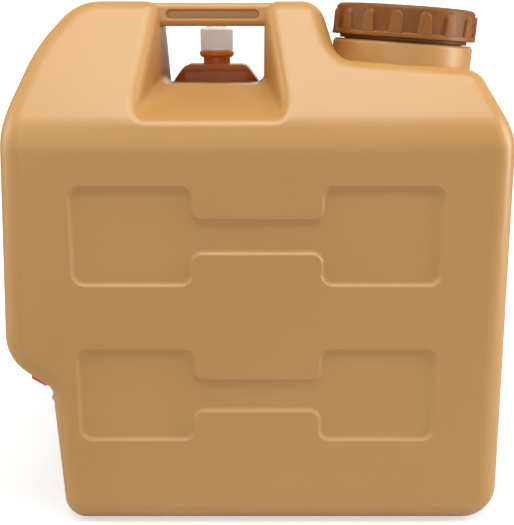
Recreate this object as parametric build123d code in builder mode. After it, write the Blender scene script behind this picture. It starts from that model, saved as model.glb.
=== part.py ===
"""A 20 litre water can for washing hands outdoors, as an assembly.

A blow-moulded can with a carrying handle through its top, a wide screw cap on a
tilted neck, a lever tap in a notch under its front, and a soap bottle that
stands in a bay behind the handle. Millimetres, +Z up, +X towards the neck, -X
towards the tap, the origin at the middle of the can's foot.
"""

import math
import os

from build123d import *

# ---------------------------------------------------------------- can: sizes
can_depth = 190.0  # front to back of the pair of large faces
can_height = 405.5  # foot to the top of the handle ridge
front_x = -195.5  # widest point of the front wall, above the tap notch
back_x = 193.5  # foot of the back wall
shoulder_z = can_height - 92.5  # where the large faces turn in to the roof slopes
roof_over = 24.0  # how far the roof slopes are drawn on past the ridge, before it is cut
ridge_half = 24.0  # half width of the ridge before its edges are rounded
wall = 3.5

rim_round = 17.0  # rounding between the large faces and the outline
shoulder_round = 42.0
mouth_round = 11.0  # rounding round the mouth of the hand hole

# tap notch in the lower front
notch_z = 112.2
notch_x = -161.0
notch_foot_x = -155.0
overhang_z = 136.9
overhang_round = 36.0

# shelf that carries the neck
neck_x = 115.0
shelf_z = can_height - 46.9  # at the neck's axis
neck_tilt = 4.0  # degrees, towards the back
shelf_left_x = 61.2
shelf_right_x = 166.0
back_top_x = 189.0
back_top_z = can_height - 96.5

# hand hole and handle
hole_left_x = -75.0
hole_right_x = 6.0
hole_flare = 16.0  # how much each flank spreads by the mouth
hole_corner = 7.0
scoop_start = 20.0  # how far from the middle the flanks begin to spread
scoop_round = 12.0
sill_z = can_height - 62.5
sill_slope = 18.0  # degrees, of the sill down to each large face
sill_half = 22.0
sill_round = 6.0  # edge of the sill above the bottle bay
bar_half_depth = 20.0
bar_bottom_z = can_height - 18.5
bar_top_z = can_height - 1.2
bar_round = 4.5
bar_sunk = 12.0  # how far each end of the bar runs into the can's blocks
groove_length = 73.0
groove_height = 8.3
groove_depth = 4.0
groove_taper = 25.0  # degrees

# recessed panels on the two large faces
panel_length = 277.0
panel_height = 76.0
waist_length = 95.0
waist_height = 27.0
panel_zs = (111.0, can_height - 168.8)
panel_sink = 2.1
panel_edge_round = 1.6
panel_floor_round = 3.2
panel_corner = 10.0
panel_taper = 48.0  # degrees, slope of the panels' edges

# shallow recess under the foot
foot_band = 16.0
foot_sink = 1.5
foot_corner = 14.0
foot_round_front = 18.0
foot_round_back = 27.0

# ---------------------------------------------------------------- neck and cap
collar_r = 55.0
collar_height = 16.3
neck_r = 45.5
neck_wall = 4.5
neck_bore_r = neck_r - neck_wall
collar_wall = 5.0
collar_sunk = 14.0  # how far the collar runs down into the can
cavity_sunk = 24.0
thread_depth = 1.9
thread_width = 3.4  # at the thread's root
thread_lead = 14.0  # two starts
thread_rise = 7.0
thread_gap = 0.45  # radial, crest to root
thread_turns = 0.42
thread_start_z = 26.0
collar_round = 3.0

cap_gap = 3.2  # collar top to the grip ring's lower edge
cap_skirt_r = 54.3
cap_rib_r = 56.3
cap_height = 23.4
cap_plate = 3.4
cap_ribs = 16
cap_rib_width = 10.5
cap_rib_turn = 7.0  # degrees, where the first rib stands
cap_flange = 3.4
rib_step = 0.1  # the ribs lie this far inside the flange
cap_hem_r = 50.0  # narrow hem of the skirt below the grip ring
cap_hem_gap = 0.5
cap_gasket = 2.0

seal_gap = 0.1  # each face of the cap's gasket

vent_bore_r = 5.0
vent_dish_r = 28.0
vent_dish_sink = 4.0
vent_floor = 2.6
vent_boss_r = 9.0
vent_boss_height = 4.0
vent_head_r = 8.0
vent_head_height = 3.0
vent_travel = 8.0
rib_top_z = 38.8  # in the neck's own frame
cap_thread_offset = -2.5  # from the neck's thread to the cap's, which pulls up against it

# ---------------------------------------------------------------- soap bottle
bottle_clear = 2.0  # to each side of its bay
bottle_depth = can_depth / 2 - 39.0
bottle_near_y = bar_half_depth + 4.5
bay_floor_z = sill_z - 59.0
bay_lip = 5.0
bay_lip_width = 4.0
bottle_shoulder_z = sill_z + 13.0
bottle_wall = 1.6
bottle_neck_r = 11.4
bottle_corner = 15.0
bottle_foot = 7.0
bottle_side_z = bottle_shoulder_z - 17.5  # where the sides turn in to the shoulders
bottle_top_half = 25.5
bottle_edge_z = bottle_shoulder_z - 4.5  # ridge above the near and far faces
bottle_brow = 9.5
bottle_ease = 0.02  # between the outlines that the block is cut from, so that no faces coincide
bottle_bead_r = 14.6
bottle_finish_r = 11.0
bottle_bead_z = bottle_shoulder_z + 5.5
bottle_bead_height = 5.1
bottle_mouth_r = 9.0
bottle_finish_height = 14.4
bottle_thread_depth = 1.1
bottle_cap_r = 13.95
bottle_cap_gap = 0.4  # over the bead
bottle_cap_plate = 3.4
bottle_lead = 4.2
liner_t = 1.1
post_r = 5.0
post_bore_r = 2.0
post_pin_r = 1.4
cone_r = 9.3
cone_height = 4.0
post_height = 10.0
post_pin_height = 3.4
nozzle_r = 7.5
nozzle_height = 9.6
nozzle_travel = 4.0

# ---------------------------------------------------------------- tap
tap_z = 84.0
bay_wall_x = notch_foot_x + 3.0  # sunk pad that the tap bolts to
tap_bay_half = 28.0
tap_bay_bottom_z = tap_z - 34.0
tap_bay_top_z = tap_z + 40.0
tap_bay_corner = 10.0
shank_r = 8.0
shank_bore_r = 4.5
tap_hole_clear = 0.4
gasket_t = 2.0
flange_t = 3.0
flange_r = 15.0
barrel_x = bay_wall_x - 20.0
barrel_r = 9.5
barrel_bore_r = 7.0
barrel_bottom_z = tap_z - 9.0
barrel_top_z = tap_z + 10.0
seat_z = tap_z - 5.0
outlet_r = 4.0
spout_r = 6.0
spout_lean = 20.0
spout_end_z = tap_z - 17.1
pivot_x = barrel_x - 7.0
pivot_z = barrel_top_z + 7.0
pivot_pin_r = 1.5
running_clear = 0.08
lever_half = 13.5
lever_gap_half = 11.3
stem_r = 2.5

pivot_hole_gap = 0.08
shank_reach = 14.0
washer_t = 1.6
nut_t = 7.0
nut_across = 24.0
ear_half = 3.0
oring_r = 3.3
oring_wire_r = 0.7
lever_skin = 2.2
stem_foot_t = 1.2
spring_turns = 4.5
rod_x = barrel_x
rod_z = pivot_z - 0.5
rod_r = 1.25
bonnet_r = 10.5
bonnet_height = 3.9
bonnet_plug = 3.5
ear_width = 8.0
stem_eye = (7.0, 5.0, 4.3)
seal_r = 6.0
seal_height = 3.0
spring_wire_r = 0.5
spring_r = 4.4

half_depth = can_depth / 2
bay_near_y = bottle_near_y - bottle_clear
bottle_x = (hole_left_x + hole_right_x) / 2
bottle_width = hole_right_x - hole_left_x - 2 * bottle_clear
roof_pitch = math.atan2(can_height - shoulder_z, half_depth - ridge_half)
shelf_fall = math.tan(math.radians(neck_tilt))


def shelf_at(x):
    """Height of the neck's tilted shelf at x."""
    return shelf_z - (x - neck_x) * shelf_fall


def rounded_outline(corners):
    """A closed sketch from (point, radius) corners, each corner rounded by its own radius."""
    with BuildSketch() as outline:
        with BuildLine():
            Polyline([point for point, _ in corners], close=True)
        make_face()
        for point, radius in corners:
            if radius:
                found = outline.vertices().sort_by_distance(Vector(*point))[0]
                fillet(found, radius=radius)
    return outline.sketch


# ================================================================ can body
# the can seen from its near side: corners and their roundings
side_corners = [
    ((notch_foot_x, 0), foot_round_front),
    ((notch_x, notch_z), 10.0),
    ((front_x, overhang_z), overhang_round),
    ((front_x + 8.0, can_height - 87.5), 110.0),
    ((front_x + 27.5, can_height - 34.5), 105.0),
    ((front_x + 56.5, can_height), 38.0),
    ((shelf_left_x - 12.9, can_height), 18.0),
    ((shelf_left_x, shelf_at(shelf_left_x)), 14.0),
    ((shelf_right_x, shelf_at(shelf_right_x)), 18.0),
    ((back_top_x, back_top_z), 60.0),
    ((back_x, 0), foot_round_back),
]


def hand_hole(grow):
    """The space of the hand hole: a scoop to the near face, the way through under the handle, and
    the soap bottle's bay, open upwards and to the far face. Larger by grow on every side."""
    top_z = can_height + 40
    reach = half_depth + 25
    left, right = hole_left_x - grow, hole_right_x + grow
    near_y = -scoop_start - grow / 6
    flare = hole_flare * (reach - scoop_start) / (half_depth - scoop_start)
    low_z = sill_z - grow
    floor_z = bay_floor_z - grow
    drop_y = bay_near_y - grow
    fall = (reach - sill_half) * math.tan(math.radians(sill_slope))
    with BuildPart() as hole:
        with BuildSketch(Plane.XY.offset(floor_z - 5)):
            add(rounded_outline([
                ((left, near_y), scoop_round),
                ((left - flare, -reach), 0),
                ((right + flare, -reach), 0),
                ((right, near_y), scoop_round),
                ((right, reach), 0),
                ((left, reach), 0),
            ]))
        extrude(amount=top_z - floor_z + 5)
        with BuildSketch(Plane.YZ):
            add(rounded_outline([
                ((-reach, low_z - fall), 0),
                ((-sill_half, low_z), 20.0),
                ((drop_y, low_z), max(sill_round - grow, 1.0)),
                ((drop_y, floor_z), hole_corner + 2 + grow),
                ((reach, floor_z), 0),
                ((reach, top_z), 0),
                ((-reach, top_z), 0),
            ]))
        extrude(amount=300, both=True, mode=Mode.INTERSECT)
        flanks = hole.faces().filter_by(lambda f: abs(f.normal_at().X) > 0.5)
        floors = hole.faces().filter_by(
            lambda f: abs(f.normal_at().X) < 0.01 and f.center().Z < low_z + 1 and abs(f.center().Y) < reach - 1
        )
        seams = [e for e in floors.edges() if any(e.is_same(o) for o in flanks.edges())]
        fillet(seams, radius=hole_corner + grow)
    return hole.part


def tap_bay(grow):
    """The space of the flat-backed bay round the tap, larger by grow."""
    with BuildPart() as bay:
        with BuildSketch(Plane.YZ.offset(bay_wall_x + grow)):
            with Locations((0, (tap_bay_bottom_z + tap_bay_top_z) / 2)):
                RectangleRounded(
                    2 * (tap_bay_half + grow),
                    tap_bay_top_z - tap_bay_bottom_z + 2 * grow,
                    tap_bay_corner + grow,
                )
        extrude(amount=-(bay_wall_x + grow - front_x + 20))
    return bay.part


def can_form(inset):
    """The can's rounded form without its neck, with every wall moved inwards by inset."""
    slope_run = roof_over / math.tan(roof_pitch)
    with BuildPart() as form:
        with BuildSketch(Plane.XZ):
            add(rounded_outline(side_corners))
            if inset:
                offset(amount=-inset, mode=Mode.REPLACE)
        extrude(amount=can_depth, both=True)
        with BuildSketch(Plane.YZ):
            add(rounded_outline([
                ((-half_depth, -50), 0),
                ((-half_depth, shoulder_z), shoulder_round),
                ((-ridge_half + slope_run, can_height + roof_over), 0),
                ((ridge_half - slope_run, can_height + roof_over), 0),
                ((half_depth, shoulder_z), shoulder_round),
                ((half_depth, -50), 0),
            ]))
            if inset:
                offset(amount=-inset, mode=Mode.REPLACE)
        extrude(amount=300, both=True, mode=Mode.INTERSECT)
        outline_faces = form.faces().filter_by(lambda f: abs(f.normal_at().Y) < 1e-5)
        large_faces = form.faces().filter_by(lambda f: abs(f.normal_at().Y) >= 1e-5)
        rim = [e for e in outline_faces.edges() if any(e.is_same(o) for o in large_faces.edges())]
        fillet(rim, radius=rim_round - inset)
        outside = form.faces()
        hole = hand_hole(inset)
        add(hole, mode=Mode.SUBTRACT)
        if not inset:
            inner = hole.edges()
            mouth = [
                e for e in form.edges()
                if any(f.distance_to(e @ 0.5) < 1e-3 for f in hole.faces())
                and not any(o.distance_to(e @ 0.5) < 1e-3 for o in inner)
                and any(f.distance_to(e @ 0.5) < 1e-3 for f in outside)
            ]
            fillet(mouth, radius=mouth_round)
        add(tap_bay(inset), mode=Mode.SUBTRACT)
    return form.part


def panel_outline():
    """The waisted outline of one recessed panel, about its own middle."""
    half_l, half_h = panel_length / 2, panel_height / 2
    waist_l, waist_h = waist_length / 2, waist_height / 2
    quarter = [
        ((half_l, half_h), panel_corner),
        ((waist_l, half_h), 9.0),
        ((waist_l, waist_h), 7.0),
    ]
    right = quarter[::-1] + [((x, -y), r) for (x, y), r in quarter]
    left = [((-x, -y), r) for (x, y), r in quarter[::-1]] + [((-x, y), r) for (x, y), r in quarter]
    return rounded_outline(right + left)


neck_axis = (math.sin(math.radians(neck_tilt)), 0, math.cos(math.radians(neck_tilt)))
neck_plane = Plane(
    origin=(neck_x, 0, shelf_z),
    x_dir=(math.cos(math.radians(neck_tilt)), 0, -math.sin(math.radians(neck_tilt))),
    z_dir=neck_axis,
)
neck_profile = Plane(origin=neck_plane.origin, x_dir=neck_plane.x_dir, z_dir=(0, -1, 0))
neck_line = Axis(neck_plane.origin, neck_axis)

# heights in the neck's own frame, from the shelf
grip_z = collar_height + cap_gap
cap_top_z = grip_z + cap_height
cap_under_z = cap_top_z - cap_plate
gasket_z = cap_under_z - seal_gap - cap_gasket
neck_top_z = gasket_z - seal_gap
cap_bore_r = neck_r + thread_depth + thread_gap


def thread_piece(radius, depth, width, lead, turns):
    """A run of thread on a cylinder of the radius about +Z, from z = 0 up. It stands out from the
    cylinder by depth, or into it if depth is negative, and its foot is sunk in the wall."""
    sunk = -0.4 if depth > 0 else 0.4
    with BuildPart() as thread:
        with BuildLine() as path:
            Helix(pitch=lead, height=lead * turns, radius=radius)
        with BuildSketch(Plane(origin=path.line @ 0, x_dir=(1, 0, 0), z_dir=path.line % 0)):
            with BuildLine():
                Polyline(
                    (sunk, -width / 2),
                    (0, -width / 2),
                    (depth, -width / 5),
                    (depth, width / 5),
                    (0, width / 2),
                    (sunk, width / 2),
                    close=True,
                )
            make_face()
        sweep(path=path.line, is_frenet=True)
    return thread.part


with BuildPart() as cavity:
    add(can_form(wall))
    with BuildSketch(neck_profile):
        add(rounded_outline([
            ((0, -cavity_sunk), 0),
            ((collar_r - collar_wall, -cavity_sunk), 0),
            ((collar_r - collar_wall, collar_height - collar_wall), 2.0),
            ((neck_bore_r, collar_height - collar_wall), 2.0),
            ((neck_bore_r, neck_top_z + 5), 0),
            ((0, neck_top_z + 5), 0),
        ]))
    revolve(axis=neck_line)

neck_thread = thread_piece(neck_r, thread_depth, thread_width, thread_lead, thread_turns)

with BuildPart() as can_body:
    add(can_form(0))

    # the handle's bar, with a long groove in each side
    with BuildSketch(Plane.YZ.offset(hole_left_x - bar_sunk)):
        with Locations((0, (bar_bottom_z + bar_top_z) / 2)):
            RectangleRounded(2 * bar_half_depth, bar_top_z - bar_bottom_z, bar_round)
    extrude(amount=hole_right_x - hole_left_x + 2 * bar_sunk)
    with BuildSketch(Plane.XZ.offset(bar_half_depth)):
        with Locations((bottle_x, (bar_bottom_z + bar_top_z) / 2)):
            SlotOverall(groove_length, groove_height)
    groove = extrude(amount=-groove_depth, taper=groove_taper, mode=Mode.PRIVATE)
    add(groove, mode=Mode.SUBTRACT)
    mirror(groove, about=Plane.XZ, mode=Mode.SUBTRACT)

    # the lip that keeps the soap bottle in its bay
    with BuildSketch(Plane.XY.offset(bay_floor_z - 1)):
        with Locations((bottle_x, bay_near_y + 2 * bottle_clear + bottle_depth + bay_lip_width / 2)):
            Rectangle(hole_right_x - hole_left_x + 1, bay_lip_width)
    lip = extrude(amount=bay_lip + 1, mode=Mode.PRIVATE)
    add(lip)

    # waisted panels sunk into both large faces
    with BuildSketch(Plane.XZ.offset(half_depth)):
        for height in panel_zs:
            with Locations((0, height)):
                add(panel_outline())
    sunk = extrude(amount=-panel_sink, taper=panel_taper, mode=Mode.PRIVATE)
    sunk_floor = sunk.edges().group_by(Axis.Y)[-1]
    panels = sunk.fillet(panel_floor_round, sunk_floor)
    add(panels, mode=Mode.SUBTRACT)
    mirror(panels, about=Plane.XZ, mode=Mode.SUBTRACT)
    for side in (-half_depth, half_depth):
        face = can_body.faces().filter_by(Axis.Y).filter_by_position(Axis.Y, side - 0.01, side + 0.01)
        fillet(face.sort_by(SortBy.AREA)[-1].inner_wires().edges(), radius=panel_edge_round)

    # shallow recess that leaves a band to stand on
    foot_left = notch_foot_x + foot_round_front + foot_band
    foot_right = back_x - foot_round_back - foot_band
    with BuildSketch(Plane.XY):
        with Locations(((foot_left + foot_right) / 2, 0)):
            RectangleRounded(foot_right - foot_left, can_depth - 2 * rim_round - 2 * foot_band, foot_corner)
    extrude(amount=foot_sink, mode=Mode.SUBTRACT)

    # collar and threaded neck
    with BuildSketch(neck_profile):
        add(rounded_outline([
            ((0, -collar_sunk), 0),
            ((collar_r, -collar_sunk), 0),
            ((collar_r, collar_height), collar_round),
            ((neck_r, collar_height), 1.5),
            ((neck_r, neck_top_z), 1.0),
            ((0, neck_top_z), 0),
        ]))
    revolve(axis=neck_line)
    with Locations(neck_plane.offset(thread_start_z)):
        with PolarLocations(0, 2):
            add(neck_thread)

    add(cavity.part, mode=Mode.SUBTRACT)

    # hole for the tap's shank
    with BuildSketch(Plane.YZ.offset(bay_wall_x - 1)):
        with Locations((0, tap_z)):
            Circle(shank_r + tap_hole_clear)
    extrude(amount=wall + 2, mode=Mode.SUBTRACT)


# ================================================================ filler cap
cap_thread = thread_piece(cap_bore_r, -thread_depth, thread_width, thread_lead, thread_turns)

rib_foot_z = grip_z + cap_flange / 2
with BuildPart() as grip_rib:
    with BuildSketch(Plane.YZ.offset(cap_skirt_r - 2)):
        with Locations((0, (rib_foot_z + rib_top_z) / 2 - cap_rib_width / 4)):
            RectangleRounded(
                cap_rib_width, rib_top_z - rib_foot_z + cap_rib_width / 2, cap_rib_width / 2 - 0.1
            )
    extrude(amount=cap_rib_r - cap_skirt_r + 3)
    with BuildSketch(Plane.XY.offset(rib_foot_z)):
        Circle(cap_rib_r - rib_step)
    extrude(amount=cap_height, mode=Mode.INTERSECT)

with BuildPart() as filler_cap:
    with BuildSketch(neck_profile):
        add(rounded_outline([
            ((0, cap_top_z - vent_dish_sink), 0),
            ((vent_dish_r, cap_top_z - vent_dish_sink), 1.0),
            ((vent_dish_r, cap_top_z), 1.2),
            ((cap_skirt_r, cap_top_z), 3.0),
            ((cap_skirt_r, grip_z + cap_flange), 0.6),
            ((cap_rib_r, grip_z + cap_flange), 0.8),
            ((cap_rib_r, grip_z), 0.5),
            ((cap_hem_r, grip_z), 0.8),
            ((cap_hem_r, collar_height + cap_hem_gap), 0.5),
            ((cap_bore_r, collar_height + cap_hem_gap), 0.5),
            ((cap_bore_r, cap_under_z), 0.5),
            ((vent_dish_r + vent_floor, cap_under_z), 0),
            ((vent_dish_r + vent_floor, cap_top_z - vent_dish_sink - vent_floor), 0.5),
            ((0, cap_top_z - vent_dish_sink - vent_floor), 0),
        ]))
    revolve(axis=neck_line)
    with Locations(neck_plane):
        with PolarLocations(0, cap_ribs, start_angle=cap_rib_turn):
            add(grip_rib.part)
    with BuildSketch(neck_plane.offset(cap_top_z - vent_dish_sink - vent_boss_height)):
        Circle(vent_boss_r)
    extrude(amount=vent_boss_height - vent_floor + 0.5)
    with BuildSketch(neck_plane.offset(grip_z)):
        Circle(vent_bore_r)
    extrude(amount=cap_height, mode=Mode.SUBTRACT)
    with Locations(neck_plane.offset(thread_start_z + cap_thread_offset)):
        with PolarLocations(0, 2):
            add(cap_thread)

with BuildPart() as filler_cap_gasket:
    with BuildSketch(neck_plane.offset(gasket_z)):
        Circle(cap_bore_r - 0.6)
        Circle(neck_bore_r, mode=Mode.SUBTRACT)
    extrude(amount=cap_gasket)

# plug that opens the air hole: a head in the cap's dish, a grooved stem and a foot that stops it
vent_seat_z = cap_top_z - vent_dish_sink + seal_gap
vent_foot_z = cap_top_z - vent_dish_sink - vent_boss_height - vent_travel - 0.4
vent_stem_r = vent_bore_r - 0.3
with BuildPart() as vent_plug:
    with BuildSketch(neck_profile):
        add(rounded_outline([
            ((0, vent_foot_z - 2.5), 0),
            ((vent_bore_r - 0.8, vent_foot_z - 2.5), 0.5),
            ((vent_bore_r + 0.6, vent_foot_z), 0),
            ((vent_stem_r, vent_foot_z), 0),
            ((vent_stem_r, vent_seat_z - 3.4), 0),
            ((vent_stem_r - 1.2, vent_seat_z - 3.4), 0),
            ((vent_stem_r - 1.2, vent_seat_z - 1.4), 0),
            ((vent_stem_r, vent_seat_z - 1.4), 0),
            ((vent_stem_r, vent_seat_z), 0),
            ((vent_head_r, vent_seat_z), 0.4),
            ((vent_head_r, vent_seat_z + vent_head_height), 0.9),
            ((0, vent_seat_z + vent_head_height), 0),
        ]))
    revolve(axis=neck_line)
    with BuildSketch(neck_plane.offset(vent_foot_z + 1)):
        with PolarLocations(vent_bore_r, 4):
            Circle(1.6)
    extrude(amount=vent_seat_z - 5.0 - vent_foot_z - 1, mode=Mode.SUBTRACT)

with BuildPart() as vent_seal:
    with BuildSketch(neck_profile):
        with Locations((vent_bore_r - 0.08 - 0.7, vent_seat_z - 2.4)):
            Circle(0.7)
    revolve(axis=neck_line)


# ================================================================ soap bottle
bottle_y = bottle_near_y + bottle_depth / 2
bottle_foot_z = bay_floor_z + 0.4
bottle_plane = Plane((bottle_x, bottle_y, 0))
bottle_profile = Plane(origin=(bottle_x, bottle_y, 0), x_dir=(1, 0, 0), z_dir=(0, -1, 0))
bottle_line = Axis((bottle_x, bottle_y, 0), (0, 0, 1))
finish_z = bottle_bead_z + bottle_bead_height
finish_top_z = finish_z + bottle_finish_height
bottle_cap_bore_r = bottle_finish_r + bottle_thread_depth + 0.4
bottle_thread = thread_piece(bottle_finish_r, bottle_thread_depth, 2.0, bottle_lead, 1.3)
bottle_cap_thread = thread_piece(bottle_cap_bore_r, -bottle_thread_depth, 2.0, bottle_lead, 1.3)


def bottle_block(inset):
    """The bottle's body with its sloping shoulders, smaller by inset on every side: its plan, its
    outline seen from the can's side and its outline seen from the can's end, taken together."""
    half_w, half_d = bottle_width / 2, bottle_depth / 2
    with BuildPart() as block:
        with BuildSketch(Plane.XY.offset(bottle_foot_z + inset)):
            with Locations((bottle_x, bottle_y)):
                RectangleRounded(
                    bottle_width - 2 * inset, bottle_depth - 2 * inset, bottle_corner - inset
                )
        extrude(amount=bottle_shoulder_z - bottle_foot_z - 2 * inset)
        with BuildSketch(Plane.XZ):
            add(rounded_outline([
                ((bottle_x - half_w, bottle_foot_z), bottle_foot),
                ((bottle_x + half_w, bottle_foot_z), bottle_foot),
                ((bottle_x + half_w, bottle_side_z), 22.0),
                ((bottle_x + bottle_top_half, bottle_shoulder_z), 9.0),
                ((bottle_x - bottle_top_half, bottle_shoulder_z), 9.0),
                ((bottle_x - half_w, bottle_side_z), 22.0),
            ]))
            offset(amount=bottle_ease - inset, mode=Mode.REPLACE)
        extrude(amount=200, both=True, mode=Mode.INTERSECT)
        with BuildSketch(Plane.YZ):
            add(rounded_outline([
                ((bottle_y - half_d, bottle_foot_z), bottle_foot),
                ((bottle_y + half_d, bottle_foot_z), bottle_foot),
                ((bottle_y + half_d, bottle_edge_z), 4.0),
                ((bottle_y + half_d - bottle_brow, bottle_shoulder_z), 4.0),
                ((bottle_y - half_d + bottle_brow, bottle_shoulder_z), 4.0),
                ((bottle_y - half_d, bottle_edge_z), 4.0),
            ]))
            offset(amount=2 * bottle_ease - inset, mode=Mode.REPLACE)
        extrude(amount=200, both=True, mode=Mode.INTERSECT)
    return block.part


with BuildPart() as soap_bottle:
    add(bottle_block(0))
    with BuildSketch(bottle_profile):
        add(rounded_outline([
            ((0, bottle_shoulder_z - 6), 0),
            ((bottle_neck_r, bottle_shoulder_z - 6), 0),
            ((bottle_neck_r, bottle_bead_z), 0.6),
            ((bottle_bead_r - 1.8, bottle_bead_z), 0.3),
            ((bottle_bead_r, bottle_bead_z + 1.8), 0.5),
            ((bottle_bead_r, finish_z), 0.6),
            ((bottle_finish_r, finish_z), 0.4),
            ((bottle_finish_r, finish_top_z), 0.4),
            ((0, finish_top_z), 0),
        ]))
    revolve(axis=bottle_line)
    with Locations(bottle_plane.offset(finish_z + 4.0)):
        add(bottle_thread)
    add(bottle_block(bottle_wall), mode=Mode.SUBTRACT)
    with BuildSketch(bottle_plane.offset(bottle_shoulder_z - bottle_wall - 2)):
        Circle(bottle_mouth_r)
    extrude(amount=finish_top_z - bottle_shoulder_z + 10, mode=Mode.SUBTRACT)

liner_z = finish_top_z + 0.1
soap_cap_under_z = liner_z + liner_t + 0.1
soap_cap_top_z = soap_cap_under_z + bottle_cap_plate
post_top_z = soap_cap_top_z + post_height
with BuildPart() as soap_cap:
    with BuildSketch(bottle_profile):
        add(rounded_outline([
            ((0, soap_cap_under_z), 0),
            ((bottle_cap_bore_r, soap_cap_under_z), 0.3),
            ((bottle_cap_bore_r, finish_z + bottle_cap_gap), 0.3),
            ((bottle_cap_r, finish_z + bottle_cap_gap), 0.4),
            ((bottle_cap_r, soap_cap_top_z), 1.6),
            ((cone_r, soap_cap_top_z), 1.0),
            ((cone_r - 2.2, soap_cap_top_z + cone_height), 0.5),
            ((post_r, soap_cap_top_z + cone_height), 0),
            ((post_r, post_top_z), 0.4),
            ((post_pin_r, post_top_z), 0),
            ((post_pin_r, post_top_z + post_pin_height), 0.2),
            ((0, post_top_z + post_pin_height), 0),
        ]))
    revolve(axis=bottle_line)
    with BuildSketch(bottle_plane.offset(soap_cap_under_z - 1)):
        Circle(post_bore_r)
    extrude(amount=post_top_z - soap_cap_under_z - 1.5, mode=Mode.SUBTRACT)
    with BuildSketch(Plane.XZ.offset(-bottle_y)):
        with Locations((bottle_x, post_top_z - 3.4)):
            Circle(1.2)
    extrude(amount=post_r + 1, both=True, mode=Mode.SUBTRACT)
    with Locations(bottle_plane.offset(finish_z + 4.0 + bottle_lead / 2)):
        add(bottle_cap_thread)

with BuildPart() as soap_cap_liner:
    with BuildSketch(bottle_plane.offset(liner_z)):
        Circle(bottle_cap_bore_r - 0.4)
        Circle(post_bore_r + 1.0, mode=Mode.SUBTRACT)
    extrude(amount=liner_t)

nozzle_z = soap_cap_top_z + cone_height + 0.4
with BuildPart() as soap_nozzle:
    with BuildSketch(bottle_profile):
        add(rounded_outline([
            ((post_r + running_clear, nozzle_z), 0.3),
            ((nozzle_r, nozzle_z), 0.5),
            ((nozzle_r, nozzle_z + 1.8), 0.5),
            ((nozzle_r - 1.4, nozzle_z + 2.6), 0.8),
            ((nozzle_r - 1.9, post_top_z + 0.4), 1.0),
            ((nozzle_r - 4.0, post_top_z + post_pin_height), 0.8),
            ((post_pin_r + running_clear, post_top_z + post_pin_height), 0.3),
            ((post_pin_r + running_clear, post_top_z + 1.8), 0),
            ((post_r + running_clear, post_top_z + 0.4), 0),
        ]))
    revolve(axis=bottle_line)


# ================================================================ tap
barrel_plane = Plane((barrel_x, 0, 0))
barrel_profile = Plane(origin=(barrel_x, 0, 0), x_dir=(1, 0, 0), z_dir=(0, -1, 0))
barrel_line = Axis((barrel_x, 0, 0), (0, 0, 1))
spout_tip = (
    barrel_x - (seat_z - spout_end_z) * math.tan(math.radians(spout_lean)),
    0,
    spout_end_z,
)
spout_dir = (-math.sin(math.radians(spout_lean)), 0, -math.cos(math.radians(spout_lean)))
spout_plane = Plane(origin=spout_tip, x_dir=(0, 1, 0), z_dir=spout_dir)
spout_run = (seat_z - spout_end_z) / math.cos(math.radians(spout_lean))
flange_x = bay_wall_x - gasket_t - flange_t
shank_end_x = bay_wall_x + shank_reach

with BuildPart() as tap_body:
    with BuildSketch(barrel_profile):
        add(rounded_outline([
            ((0, barrel_bottom_z), 0),
            ((barrel_r, barrel_bottom_z), 2.5),
            ((barrel_r, barrel_top_z), 0.5),
            ((0, barrel_top_z), 0),
        ]))
    revolve(axis=barrel_line)
    with BuildSketch(Plane.YZ.offset(barrel_x)):
        with Locations((0, tap_z)):
            Circle(shank_r)
    extrude(amount=shank_end_x - barrel_x)
    with BuildSketch(Plane.YZ.offset(flange_x)):
        with Locations((0, tap_z)):
            Circle(flange_r)
    extrude(amount=flange_t)
    with BuildSketch(spout_plane):
        Circle(spout_r)
    extrude(amount=-spout_run)
    with BuildSketch(spout_plane):
        Circle(outlet_r)
    extrude(amount=-spout_run - 1.5, mode=Mode.SUBTRACT)
    with BuildSketch(Plane.YZ.offset(barrel_x)):
        with Locations((0, tap_z)):
            Circle(shank_bore_r)
    extrude(amount=shank_end_x - barrel_x, mode=Mode.SUBTRACT)
    with BuildSketch(barrel_plane.offset(seat_z)):
        Circle(barrel_bore_r)
    extrude(amount=barrel_top_z - seat_z + 1, mode=Mode.SUBTRACT)

with BuildPart() as tap_gasket:
    with BuildSketch(Plane.YZ.offset(bay_wall_x)):
        with Locations((0, tap_z)):
            Circle(flange_r - 0.6)
            Circle(shank_r + 0.3, mode=Mode.SUBTRACT)
    extrude(amount=-gasket_t)

washer_x = bay_wall_x + wall
with BuildPart() as tap_washer:
    with BuildSketch(Plane.YZ.offset(washer_x)):
        with Locations((0, tap_z)):
            Circle(flange_r)
            Circle(shank_r + 0.3, mode=Mode.SUBTRACT)
    extrude(amount=washer_t)

with BuildPart() as tap_nut:
    with BuildSketch(Plane.YZ.offset(washer_x + washer_t)):
        with Locations((0, tap_z)):
            RegularPolygon(nut_across / 2, 6, major_radius=False)
            Circle(shank_r + 0.05, mode=Mode.SUBTRACT)
    extrude(amount=nut_t)

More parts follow.
